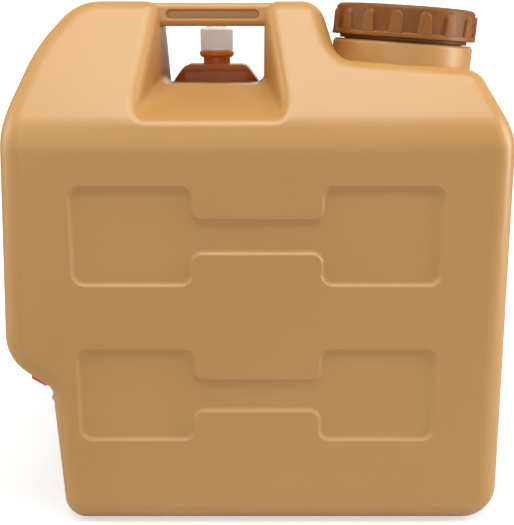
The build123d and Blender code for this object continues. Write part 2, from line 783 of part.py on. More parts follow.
bonnet_z = barrel_top_z + 0.05
bonnet_top_z = bonnet_z + bonnet_height
eye_x, eye_y, eye_h = stem_eye
eye_z = bonnet_top_z + 0.45
with BuildPart() as tap_bonnet:
    with BuildSketch(barrel_profile):
        add(rounded_outline([
            ((0, bonnet_z - bonnet_plug), 0),
            ((barrel_bore_r - 0.05, bonnet_z - bonnet_plug), 0.4),
            ((barrel_bore_r - 0.05, bonnet_z), 0),
            ((bonnet_r, bonnet_z), 0.3),
            ((bonnet_r, bonnet_top_z), 0.8),
            ((0, bonnet_top_z), 0),
        ]))
    revolve(axis=barrel_line)
    with BuildSketch(Plane.XZ):
        add(rounded_outline([
            ((pivot_x - ear_half, bonnet_top_z - 2), 0),
            ((pivot_x + ear_half, bonnet_top_z - 2), 0),
            ((pivot_x + ear_half, pivot_z + ear_half), ear_half - 0.1),
            ((pivot_x - ear_half, pivot_z + ear_half), ear_half - 0.1),
        ]))
    extrude(amount=ear_width / 2, both=True)
    with BuildSketch(Plane.XZ):
        with Locations((pivot_x, pivot_z)):
            Circle(pivot_pin_r + 0.01)
    extrude(amount=ear_width, both=True, mode=Mode.SUBTRACT)
    with BuildSketch(barrel_plane.offset(bonnet_z - bonnet_plug)):
        Circle(stem_r + running_clear)
    extrude(amount=bonnet_plug + bonnet_height + 1, mode=Mode.SUBTRACT)
    with BuildSketch(barrel_plane.offset(bonnet_z - 0.2)):
        Circle(oring_r + oring_wire_r + 0.1)
    extrude(amount=2 * oring_wire_r + 0.1, mode=Mode.SUBTRACT)

with BuildPart() as stem_oring:
    with BuildSketch(barrel_profile):
        with Locations((oring_r, bonnet_z - 0.15 + oring_wire_r)):
            Circle(oring_wire_r)
    revolve(axis=barrel_line)

with BuildPart() as lever_pin:
    with BuildSketch(Plane.XZ):
        with Locations((pivot_x, pivot_z)):
            Circle(pivot_pin_r)
    extrude(amount=lever_half + 0.4, both=True)
    chamfer(lever_pin.edges().filter_by(GeomType.CIRCLE), length=0.3)

with BuildPart() as stem_pin:
    with BuildSketch(Plane.XZ):
        with Locations((rod_x, rod_z)):
            Circle(rod_r)
    extrude(amount=lever_half - 0.4, both=True)

with BuildPart() as tap_lever:
    with BuildSketch(Plane.XZ):
        add(rounded_outline([
            ((-195.0, 103.2), 2.5),
            ((-180.0, 107.0), 12.0),
            ((-162.5, 104.6), 2.5),
            ((-162.5, 97.5), 2.0),
            ((-174.5, 94.5), 3.0),
            ((-180.5, 87.0), 1.5),
            ((-183.5, 85.0), 1.0),
            ((-195.0, 92.0), 1.5),
        ]))
    extrude(amount=lever_half, both=True)
    with BuildSketch(Plane.XZ):
        add(rounded_outline([
            ((-195.0 + lever_skin, 103.2 - lever_skin), 1.0),
            ((-180.0, 107.0 - lever_skin), 11.0),
            ((-160.0, 104.4 - lever_skin), 0),
            ((-160.0, 80.0), 0),
            ((-195.0 + lever_skin, 80.0), 0),
        ]))
    extrude(amount=lever_gap_half, both=True, mode=Mode.SUBTRACT)
    with BuildSketch(Plane.XZ):
        with Locations((pivot_x, pivot_z)):
            Circle(pivot_pin_r + pivot_hole_gap)
    extrude(amount=lever_half + 1, both=True, mode=Mode.SUBTRACT)
    with BuildSketch(Plane.XZ):
        with Locations((rod_x, rod_z)):
            Circle(rod_r + 0.01)
    extrude(amount=lever_half + 1, both=True, mode=Mode.SUBTRACT)

seal_z = seat_z + 0.1
with BuildPart() as valve_stem:
    with BuildSketch(barrel_plane.offset(seal_z + 0.8)):
        Circle(stem_r - 0.6)
    extrude(amount=seal_height - 0.8)
    with BuildSketch(barrel_plane.offset(seal_z + seal_height)):
        Circle(seal_r - 0.4)
    extrude(amount=stem_foot_t)
    with BuildSketch(barrel_plane.offset(seal_z + seal_height)):
        Circle(stem_r)
    extrude(amount=eye_z - seal_z - seal_height + 0.5)
    with BuildSketch(barrel_plane.offset(eye_z)):
        Rectangle(eye_x, eye_y)
    extrude(amount=eye_h)
    with BuildSketch(Plane.XZ):
        with Locations((rod_x, rod_z)):
            SlotOverall(2 * rod_r + 1.3, 2 * rod_r + 0.4)
    extrude(amount=eye_y, both=True, mode=Mode.SUBTRACT)

with BuildPart() as valve_seal:
    with BuildSketch(barrel_profile):
        add(rounded_outline([
            ((0, seal_z), 0),
            ((seal_r, seal_z), 0.4),
            ((seal_r, seal_z + seal_height), 0.3),
            ((stem_r - 0.59, seal_z + seal_height), 0),
            ((stem_r - 0.59, seal_z + 0.79), 0),
            ((0, seal_z + 0.79), 0),
        ]))
    revolve(axis=barrel_line)

spring_z = seal_z + seal_height + stem_foot_t + spring_wire_r + 0.1
spring_top_z = bonnet_z - bonnet_plug - spring_wire_r - 0.1
with BuildPart() as valve_spring:
    with BuildLine() as coil:
        Helix(pitch=(spring_top_z - spring_z) / spring_turns, height=spring_top_z - spring_z, radius=spring_r)
    with BuildSketch(Plane(origin=coil.line @ 0, x_dir=(1, 0, 0), z_dir=coil.line % 0)):
        Circle(spring_wire_r)
    sweep(path=coil.line, is_frenet=True)
valve_spring.part.locate(Location((barrel_x, 0, spring_z)))


# ================================================================ files
pieces = {
    "can_body": can_body,
    "filler_cap": filler_cap,
    "filler_cap_gasket": filler_cap_gasket,
    "vent_plug": vent_plug,
    "vent_seal": vent_seal,
    "soap_bottle": soap_bottle,
    "soap_cap": soap_cap,
    "soap_cap_liner": soap_cap_liner,
    "soap_nozzle": soap_nozzle,
    "tap_body": tap_body,
    "tap_gasket": tap_gasket,
    "tap_washer": tap_washer,
    "tap_nut": tap_nut,
    "tap_bonnet": tap_bonnet,
    "stem_oring": stem_oring,
    "tap_lever": tap_lever,
    "lever_pin": lever_pin,
    "stem_pin": stem_pin,
    "valve_stem": valve_stem,
    "valve_seal": valve_seal,
    "valve_spring": valve_spring,
}

os.makedirs("parts", exist_ok=True)
for name, piece in pieces.items():
    piece.part.label = name
    export_step(piece.part, f"parts/{name}.step")
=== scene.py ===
"""Finishes and fine pieces of a 20 litre hand-washing water can.

The can, its soap bottle and its tap keep the shapes that they were designed with and get their
plastics, rubbers and steels here. The filler cap, the soap cap, the push-pull nozzle and the seam
of the moulding under the foot are worked out here as smooth surfaces.
"""

import math

import bpy
import numpy as np
from bpy.props import FloatProperty, FloatVectorProperty, IntProperty, PointerProperty
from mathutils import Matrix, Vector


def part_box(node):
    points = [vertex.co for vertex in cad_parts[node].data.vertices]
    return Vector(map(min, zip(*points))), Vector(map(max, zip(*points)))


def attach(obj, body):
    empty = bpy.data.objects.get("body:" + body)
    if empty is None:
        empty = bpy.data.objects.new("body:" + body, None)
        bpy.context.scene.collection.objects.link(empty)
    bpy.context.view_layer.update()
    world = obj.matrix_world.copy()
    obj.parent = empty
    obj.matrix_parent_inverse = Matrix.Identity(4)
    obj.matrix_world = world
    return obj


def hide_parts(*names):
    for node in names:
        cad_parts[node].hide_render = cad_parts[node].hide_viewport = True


bl_info = {
    "name": "Hand-washing water can",
    "version": (1, 0, 0),
    "blender": (4, 5, 0),
    "location": "View3D > Sidebar > Water Can",
    "description": "Builds the finishes and fine pieces of a 20 litre water can",
    "category": "Object",
}

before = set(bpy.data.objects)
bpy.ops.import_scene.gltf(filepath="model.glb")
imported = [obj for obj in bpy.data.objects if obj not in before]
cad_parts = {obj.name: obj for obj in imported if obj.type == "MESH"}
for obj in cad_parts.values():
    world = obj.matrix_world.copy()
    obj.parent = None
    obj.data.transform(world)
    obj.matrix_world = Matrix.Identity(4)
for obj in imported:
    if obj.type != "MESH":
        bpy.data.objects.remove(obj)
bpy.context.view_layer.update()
MM = 0.001


# ------------------------------------------------------------------ settings
def length(name, description, default):
    """A length setting, in metres, from a default in millimetres."""
    return FloatProperty(
        name=name, description=description, default=default * MM, unit="LENGTH", precision=5
    )


def colour(name, description, default):
    """A colour setting."""
    return FloatVectorProperty(
        name=name, description=description, default=default, size=3, subtype="COLOR", min=0, max=1
    )


class CanPlasticSettings(bpy.types.PropertyGroup):
    """Colour and surface of the blow-moulded can."""

    tan: colour("Tan", "Main colour of the can", (0.565, 0.288, 0.078))
    tan_thin: colour("Thin-wall tan", "Where the wall is thinner", (0.60, 0.318, 0.095))
    roughness: FloatProperty(
        name="Roughness", description="Middle of the can's roughness", default=0.40, min=0, max=1
    )
    wave_height: length("Wave height", "Height of the long waves of a blown wall", 0.55)
    grain_height: length("Grain height", "Height of the fine grain of the mould", 0.012)
    parting_width: length("Parting line width", "Width of the mould's parting line", 0.9)
    parting_height: length("Parting line height", "Height of the mould's parting line", 0.16)


class FillerCapSettings(bpy.types.PropertyGroup):
    """Sizes and colours of the big screw cap."""

    brown: colour("Brown", "Colour of the cap", (0.235, 0.078, 0.012))
    # painted highlight: the lighter brown painted on the outer faces of the ribs and the flange rim
    brown_highlight: colour("Highlight brown", "Colour on the ribs' outer faces", (0.32, 0.118, 0.022))
    ribs: IntProperty(name="Ribs", description="Number of grip ribs", default=16, min=4)
    neck_x: length("Neck x", "Middle of the neck along the can", 115.0)
    shelf_z: length("Shelf height", "Height of the shelf at the neck's axis", 358.6)
    tilt: FloatProperty(
        name="Tilt", description="Tilt of the neck", default=math.radians(4), subtype="ANGLE"
    )
    skirt_r: length("Skirt radius", "Radius between the ribs", 54.3)
    rib_r: length("Rib radius", "Radius over the flange and the ribs", 56.3)
    rib_width: length("Rib width", "Width of a grip rib at its foot", 11.0)
    rib_waist: length("Rib top width", "Width of a grip rib at its top", 8.4)
    rib_turn: FloatProperty(
        name="Rib turn", description="Where the first rib stands round the cap",
        default=math.radians(7), subtype="ANGLE",
    )
    rib_top: length("Rib top", "Height of the ribs' round tops over the shelf", 38.8)
    flange_z: length("Flange height", "Underside of the flange over the shelf", 19.5)
    flange: length("Flange", "Height of the flange", 3.4)
    top_z: length("Top", "Top of the cap over the shelf", 42.9)
    hem_r: length("Hem radius", "Radius of the hem under the flange", 50.0)
    hem_z: length("Hem height", "Lower edge of the hem over the shelf", 16.8)
    bore_r: length("Bore radius", "Radius inside the skirt", 47.85)
    plate: length("Plate", "Thickness of the top", 3.4)
    dish_r: length("Dish radius", "Radius of the sunk middle", 28.0)
    dish: length("Dish", "Depth of the sunk middle", 4.0)
    floor: length("Floor", "Thickness of the sunk middle", 2.6)
    hole_r: length("Air hole radius", "Radius of the air hole", 5.0)
    boss_r: length("Boss radius", "Radius of the boss round the air hole", 9.0)
    thread: length("Thread", "Height of the thread inside", 1.9)
    lead: length("Lead", "Advance of the two-start thread in one turn", 14.0)


class SoapSettings(bpy.types.PropertyGroup):
    """Sizes and colours of the soap bottle's closure."""

    bottle_brown: colour("Bottle brown", "Colour of the soap bottle", (0.56, 0.150, 0.016))
    white: colour("White", "Colour of the cap and the nozzle", (0.80, 0.73, 0.67))
    cap_r: length("Cap radius", "Radius over the flutes", 13.95)
    flutes: IntProperty(name="Flutes", description="Number of flutes", default=72, min=8)
    flute: length("Flute depth", "Depth of the flutes", 0.14)
    bore_r: length("Cap bore", "Radius inside the soap cap", 12.5)
    plate: length("Cap plate", "Thickness of the soap cap's top", 3.4)
    cone_r: length("Cone radius", "Foot of the cone", 9.3)
    cone: length("Cone height", "Height of the cone", 4.0)
    post_r: length("Post radius", "Radius of the nozzle's post", 5.0)
    post: length("Post height", "Height of the post over the cap", 10.0)
    post_bore_r: length("Post bore", "Radius of the way through the post", 2.0)
    pin_r: length("Pin radius", "Radius of the pin that closes the nozzle", 1.4)
    pin: length("Pin height", "Height of the pin over the post", 3.4)
    nozzle_r: length("Nozzle radius", "Radius of the nozzle's foot", 7.5)


class StageSettings(bpy.types.PropertyGroup):
    """Camera, floor and lights."""

    lens: FloatProperty(name="Lens", description="Focal length", default=60.34, unit="CAMERA")
    distance: length("Distance", "Camera's distance from the middle of the can", 725.0)
    height: length("Height", "Camera's height over the floor", 384.0)
    pitch: FloatProperty(
        name="Pitch", description="Camera's downward tilt", default=math.radians(14.8),
        subtype="ANGLE",
    )
    key: FloatProperty(name="Key", description="Power of the top light", default=11.0, unit="POWER")
    fill: FloatProperty(name="Fill", description="Power of the front light", default=7.6, unit="POWER")
    rim: FloatProperty(name="Rim", description="Power of each side light", default=6.5, unit="POWER")


# ------------------------------------------------------------------ surfaces
def surface(name, grid, close_rows=False, close_columns=True, poles=(False, False)):
    """A mesh from a grid of points, rows by columns by three.

    Point (i, j) is joined to (i + 1, j) and (i, j + 1) in four-sided faces. close_rows joins the
    last row to the first, close_columns the last column to the first, and poles close the first
    and the last row with a point at their middle. Rows run so that row direction crossed with
    column direction points outwards.
    """
    rows, columns = grid.shape[:2]
    index = np.arange(rows * columns).reshape(rows, columns)
    low = index if close_rows else index[:-1]
    high = np.roll(index, -1, 0) if close_rows else index[1:]
    if close_columns:
        faces = np.stack([low, high, np.roll(high, -1, 1), np.roll(low, -1, 1)], -1)
    else:
        faces = np.stack([low[:, :-1], high[:, :-1], high[:, 1:], low[:, 1:]], -1)
    points = [grid.reshape(-1, 3)]
    quads = faces.reshape(-1, 4)
    fans = []
    for wanted, ring, turn in ((poles[0], index[0], 1), (poles[1], index[-1], -1)):
        if wanted:
            pole = sum(len(p) for p in points)
            points.append(grid.reshape(-1, 3)[ring].mean(0, keepdims=True))
            fans.append(np.stack([np.full(columns, pole), ring, np.roll(ring, -1)], -1)[:, ::turn])
    points = np.concatenate(points)
    mesh = bpy.data.meshes.new(name)
    mesh.vertices.add(len(points))
    mesh.vertices.foreach_set("co", points.astype(np.float32).ravel())
    corners = np.concatenate([quads.ravel()] + [f.ravel() for f in fans])
    sizes = np.concatenate([np.full(len(quads), 4)] + [np.full(len(f), 3) for f in fans])
    mesh.loops.add(len(corners))
    mesh.loops.foreach_set("vertex_index", corners.astype(np.int32))
    mesh.polygons.add(len(sizes))
    starts = np.concatenate([[0], np.cumsum(sizes)[:-1]])
    mesh.polygons.foreach_set("loop_start", starts.astype(np.int32))
    mesh.update(calc_edges=True)
    mesh.validate()
    mesh.polygons.foreach_set("use_smooth", np.ones(len(sizes), bool))
    mesh.set_sharp_from_angle(angle=math.radians(40))
    piece = bpy.data.objects.new(name, mesh)
    bpy.context.scene.collection.objects.link(piece)
    return piece


def rounded_line(corners, step):
    """Points along a line of (radius, height, rounding) corners, in millimetres.

    Each corner is replaced by an arc of its rounding that touches both of its runs, and every run
    and arc is cut into pieces no longer than step.
    """
    points = np.array([c[:2] for c in corners], float)
    out = [points[:1]]
    for i in range(1, len(points) - 1):
        here, rounding = points[i], corners[i][2]
        a, b = points[i - 1] - here, points[i + 1] - here
        length_a, length_b = np.linalg.norm(a), np.linalg.norm(b)
        a, b = a / length_a, b / length_b
        half = math.acos(float(np.clip(a @ b, -1, 1))) / 2
        if rounding <= 0 or half > math.pi / 2 - 0.01:
            out.append(here[None])
            continue
        back = min(rounding / math.tan(half), 0.49 * length_a, 0.49 * length_b)
        radius = back * math.tan(half)
        middle = here + (a + b) / np.linalg.norm(a + b) * radius / math.sin(half)
        start, end = here + a * back - middle, here + b * back - middle
        angle = math.atan2(start[0] * end[1] - start[1] * end[0], start @ end)
        turns = np.linspace(0, angle, max(4, int(abs(angle) * radius / step) + 2))
        cos, sin = np.cos(turns), np.sin(turns)
        arc = np.stack([start[0] * cos - start[1] * sin, start[0] * sin + start[1] * cos], -1)
        out.append(middle + arc)
    out.append(points[-1:])
    line = np.concatenate(out)
    gaps = np.linalg.norm(np.diff(line, axis=0), axis=1)
    cuts = np.maximum(1, np.ceil(gaps / step).astype(int))
    return np.concatenate(
        [line[i] + np.linspace(0, 1, n, endpoint=False)[:, None] * (line[i + 1] - line[i])
         for i, n in enumerate(cuts)] + [line[-1:]]
    )


def turned(line, angles, spread=None):
    """The surface of a line turned about the height axis: at angle t a point (r, h) of the line is
    at (r cos t, r sin t, h), and spread, if given, is added to r for each point and angle."""
    r = line[:, :1] + np.zeros((1, len(angles))) if spread is None else line[:, :1] + spread
    h = line[:, 1:] + np.zeros((1, len(angles)))
    return np.stack([r * np.cos(angles), r * np.sin(angles), h], -1)


def in_millimetres(settings, names):
    """The named length settings, in millimetres, by name."""
    return {name: getattr(settings, name) / MM for name in names}


def smooth_step(x):
    """0 below 0, 1 above 1, and 3x² - 2x³ between."""
    x = np.clip(x, 0, 1)
    return x * x * (3 - 2 * x)


def place_on_neck(grid, s):
    """Turns points about +Z, in millimetres, onto the neck's tilted axis, in metres."""
    cos, sin = math.cos(s.tilt), math.sin(s.tilt)
    x, y, z = grid[..., 0] * MM, grid[..., 1] * MM, grid[..., 2] * MM
    return np.stack([s.neck_x + x * cos + z * sin, y, s.shelf_z - x * sin + z * cos], -1)


# ------------------------------------------------------------------ materials
class Nodes:
    """Short words for building one material's node tree."""

    def __init__(self, name):
        self.material = bpy.data.materials.new(name)
        self.material.use_nodes = True
        self.tree = self.material.node_tree
        self.shader = self.tree.nodes["Principled BSDF"]
        self.place = self.tree.nodes.new("ShaderNodeTexCoord").outputs["Object"]

    def link(self, source, target):
        self.tree.links.new(source, target)

    def set(self, **values):
        for name, value in values.items():
            socket = self.shader.inputs[name.replace("_", " ")]
            socket.default_value = value
        return self

    def noise(self, scale, detail=2.0, roughness=0.5, stretch=(1, 1, 1)):
        mapping = self.tree.nodes.new("ShaderNodeMapping")
        mapping.inputs["Scale"].default_value = stretch
        self.link(self.place, mapping.inputs["Vector"])
        noise = self.tree.nodes.new("ShaderNodeTexNoise")
        noise.inputs["Scale"].default_value = scale
        noise.inputs["Detail"].default_value = detail
        noise.inputs["Roughness"].default_value = roughness
        self.link(mapping.outputs["Vector"], noise.inputs["Vector"])
        return noise.outputs["Fac"]

    def ramp(self, source, low, high, to_low=0.0, to_high=1.0):
        node = self.tree.nodes.new("ShaderNodeMapRange")
        node.interpolation_type = "SMOOTHSTEP"
        values = (("From Min", low), ("From Max", high), ("To Min", to_low), ("To Max", to_high))
        for name, value in values:
            node.inputs[name].default_value = value
        self.link(source, node.inputs["Value"])
        return node.outputs["Result"]

    def math(self, kind, a, b=0.0, c=0.0):
        node = self.tree.nodes.new("ShaderNodeMath")
        node.operation = kind
        for i, value in enumerate((a, b, c)):
            if isinstance(value, (int, float)):
                node.inputs[i].default_value = value
            else:
                self.link(value, node.inputs[i])
        return node.outputs[0]

    def mix(self, amount, a, b):
        node = self.tree.nodes.new("ShaderNodeMix")
        node.data_type = "RGBA"
        self.link(amount, node.inputs[0])
        for i, value in ((6, a), (7, b)):
            if isinstance(value, bpy.types.NodeSocket):
                self.link(value, node.inputs[i])
            else:
                node.inputs[i].default_value = (*value, 1)
        return node.outputs[2]

    def part(self, axis):
        node = self.tree.nodes.new("ShaderNodeSeparateXYZ")
        self.link(self.place, node.inputs[0])
        return node.outputs[axis]

    def bump(self, *layers):
        """Layers of (height source, height in metres), one over another."""
        normal = None
        for source, height in layers:
            node = self.tree.nodes.new("ShaderNodeBump")
            node.inputs["Distance"].default_value = height
            self.link(source, node.inputs["Height"])
            if normal is not None:
                self.link(normal, node.inputs["Normal"])
            normal = node.outputs["Normal"]
        self.link(normal, self.shader.inputs["Normal"])

    def colour(self, source):
        self.link(source, self.shader.inputs["Base Color"])

    def rough(self, source):
        self.link(source, self.shader.inputs["Roughness"])


def can_plastic(s):
    """Satin blown plastic: long low waves, a fine mould grain, a parting line round the can, and a
    little rubbed gloss towards the foot, where the colour is also painted lighter in streaks as
    painted light from the floor."""
    n = Nodes("moulded_tan")
    waves = n.noise(7.0, 1.5, 0.45)
    grain = n.noise(1500.0, 2.0, 0.6)
    orange_peel = n.noise(240.0, 1.0, 0.4)
    cloud = n.noise(4.2, 3.0, 0.55)
    speck = n.noise(650.0, 3.0, 0.7)
    scuff_and_bounce_streaks = n.noise(60.0, 4.0, 0.7, stretch=(0.35, 0.35, 2.2))
    y, z = n.part("Y"), n.part("Z")
    line = n.ramp(n.math("ABSOLUTE", y), s.parting_width * 0.2, s.parting_width * 0.5, 1.0, 0.0)
    tone = n.mix(n.ramp(cloud, 0.32, 0.68), tuple(s.tan), tuple(s.tan_thin))
    dark = tuple(c * 0.90 for c in s.tan)
    tone = n.mix(n.ramp(speck, 0.60, 0.80, 0.0, 0.30), tone, dark)
    # painted light from the floor: the bottom 35 mm is painted a lighter tan in streaks from the scuff
    # noise; the same mask also makes the foot rougher
    foot = n.math("MULTIPLY", n.ramp(z, 0.0, 0.035, 1.0, 0.0), n.ramp(scuff_and_bounce_streaks, 0.42, 0.70))
    tone = n.mix(n.math("MULTIPLY", foot, 0.30), tone, (0.62, 0.42, 0.24))
    n.colour(tone)
    rough = n.ramp(cloud, 0.25, 0.75, s.roughness - 0.03, s.roughness + 0.05)
    rough = n.math("ADD", rough, n.ramp(scuff_and_bounce_streaks, 0.5, 0.8, 0.0, 0.06))
    n.rough(n.math("ADD", rough, n.math("MULTIPLY", foot, 0.12)))
    n.bump(
        (waves, s.wave_height * 4),
        (orange_peel, 0.00006),
        (grain, s.grain_height),
        (line, s.parting_height),
    )
    n.set(Subsurface_Weight=0.08, Subsurface_Scale=0.006, IOR=1.62)
    return n.material


def cap_plastic(s):
    """Brown moulded plastic, glossier on the outer faces of the ribs, which are also painted a shade
    lighter as a painted highlight.
    """
    n = Nodes("cap_brown")
    mapping = n.tree.nodes.new("ShaderNodeMapping")
    mapping.vector_type = "TEXTURE"
    mapping.inputs["Location"].default_value = (s.neck_x, 0, s.shelf_z)
    mapping.inputs["Rotation"].default_value = (0, s.tilt, 0)
    n.link(n.place, mapping.inputs["Vector"])
    n.place = mapping.outputs["Vector"]
    x, y = n.part("X"), n.part("Y")
    radius = n.math("SQRT", n.math("ADD", n.math("MULTIPLY", x, x), n.math("MULTIPLY", y, y)))
    outer = n.ramp(radius, s.skirt_r + 0.0002, s.rib_r - 0.0002)
    blotch = n.noise(45.0, 3.0, 0.6)
    grain = n.noise(1100.0, 2.0, 0.6)
    # painted highlight: the outer faces of the ribs and the flange rim are painted a lighter brown, as
    # if they catch the light, broken up by blotch noise
    rib_highlight = n.math("MULTIPLY", outer, n.ramp(blotch, 0.30, 0.62, 0.35, 1.0))
    tone = n.mix(rib_highlight, tuple(s.brown), tuple(s.brown_highlight))
    n.colour(n.mix(n.ramp(blotch, 0.45, 0.75, 0.0, 0.35), tone, tuple(c * 0.8 for c in s.brown)))
    n.rough(n.math("SUBTRACT", n.ramp(blotch, 0.3, 0.7, 0.42, 0.50), n.math("MULTIPLY", outer, 0.06)))
    n.bump((blotch, 0.0003), (grain, 0.00002))
    n.set(Specular_IOR_Level=0.3)
    return n.material


def plain_plastic(name, base, rough, grain=0.00002, blotch_scale=60.0, shift=0.10, **more):
    """A moulded plastic whose colour and gloss wander a little, with a fine grain."""
    n = Nodes(name)
    blotch = n.noise(blotch_scale, 3.0, 0.6)
    fine = n.noise(1300.0, 2.0, 0.6)
    other = tuple(min(1.0, c * (1 + shift)) for c in base)
    n.colour(n.mix(n.ramp(blotch, 0.3, 0.7), tuple(c * (1 - shift) for c in base), other))
    n.rough(n.ramp(blotch, 0.3, 0.7, rough - 0.04, rough + 0.05))
    n.bump((blotch, 0.00015), (fine, grain))
    n.set(**more)
    return n.material


def sealing_rubber(name, base):
    """Dull rubber with a slight bloom."""
    n = Nodes(name)
    bloom = n.noise(220.0, 4.0, 0.7)
    n.colour(n.mix(n.ramp(bloom, 0.45, 0.75), base, tuple(c + 0.05 for c in base)))
    n.rough(n.ramp(bloom, 0.3, 0.7, 0.62, 0.8))
    n.bump((bloom, 0.00005))
    return n.material


def liner_foam():
    """Fine-celled foam of the soap cap's liner."""
    n = Nodes("liner_foam")
    cells = n.tree.nodes.new("ShaderNodeTexVoronoi")
    cells.inputs["Scale"].default_value = 2200.0
    n.link(n.place, cells.inputs["Vector"])
    depth = cells.outputs["Distance"]
    n.colour(n.mix(n.ramp(depth, 0.1, 0.6), (0.78, 0.78, 0.75), (0.9, 0.9, 0.88)))
    n.rough(n.ramp(depth, 0.0, 0.8, 0.75, 0.9))
    n.bump((depth, 0.00008))
    return n.material


def drawn_steel():
    """Drawn stainless wire and pin, with fine lines along it."""
    n = Nodes("drawn_steel")
    lines = n.noise(900.0, 3.0, 0.6, stretch=(3, 0.2, 3))
    n.colour(n.mix(n.ramp(lines, 0.3, 0.7), (0.52, 0.52, 0.53), (0.66, 0.66, 0.66)))
    n.rough(n.ramp(lines, 0.3, 0.7, 0.22, 0.36))
    n.bump((lines, 0.00001))
    n.set(Metallic=1.0)
    return n.material


def floor_white(shade):
    """White paper whose glow grows away from the middle, so that only a soft shadow is left at the
    foot. Only the camera sees the glow, and it lights nothing."""
    n = Nodes("studio_white")
    fibre = n.noise(14.0, 3.0, 0.5)
    n.colour(n.mix(fibre, (0.60, 0.60, 0.60), (0.62, 0.62, 0.62)))
    n.set(Roughness=0.9, Emission_Color=(1, 1, 1, 1))
    seen = n.tree.nodes.new("ShaderNodeLightPath").outputs["Is Camera Ray"]
    x, y = n.part("X"), n.part("Y")
    away = n.math("SQRT", n.math("ADD", n.math("MULTIPLY", x, x), n.math("MULTIPLY", y, y)))
    glow = n.ramp(away, 0.28, 0.75, shade, 1.1)
    n.link(n.math("MULTIPLY", glow, seen), n.shader.inputs["Emission Strength"])
    return n.material


def dress(node, material):
    """Gives a designed piece its finish."""
    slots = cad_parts[node].material_slots
    for slot in slots:
        slot.material = material
    if not len(slots):
        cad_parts[node].data.materials.append(material)


# ------------------------------------------------------------------ operators
class WATERCAN_OT_can(bpy.types.Operator):
    """Finishes the can and lays the mould's pinched seam under its foot"""

    bl_idname = "watercan.can"
    bl_label = "Can"

    def execute(self, context):
        s = context.scene.can_plastic_settings
        material = can_plastic(s)
        dress("can_body", material)
        low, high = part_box("can_body")
        # seam: at u along it and angle t round it, an oval about half_width wide to each side and
        # reach tall, both fading to nothing at the ends while the width wanders a little
        from_front, from_back = 78, 72
        half_width, reach, middle_z = 0.95, 0.9, 1.35
        u = np.linspace(0, 1, 160)
        t = np.linspace(0, 2 * math.pi, 16, endpoint=False)
        fade = np.sqrt(np.clip(1 - (2 * u - 1) ** 10, 0.0004, 1))[:, None]
        wander = 0.06 * np.sin(u * 47)[:, None] + 0.05 * np.sin(u * 121 + 1)[:, None]
        run = (high.x - low.x) / MM - (from_front + from_back)
        x = low.x / MM + from_front + u[:, None] * run + 0 * t
        y = (half_width + wander) * fade * np.cos(t)
        z = middle_z - reach * fade * np.clip(np.sin(-t), -0.5, 1)
        grid = np.stack([x, y, z], -1) * MM
        seam = surface("foot_seam", grid, poles=(True, True))
        seam.data.materials.append(material)
        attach(seam, "can")
        return {"FINISHED"}


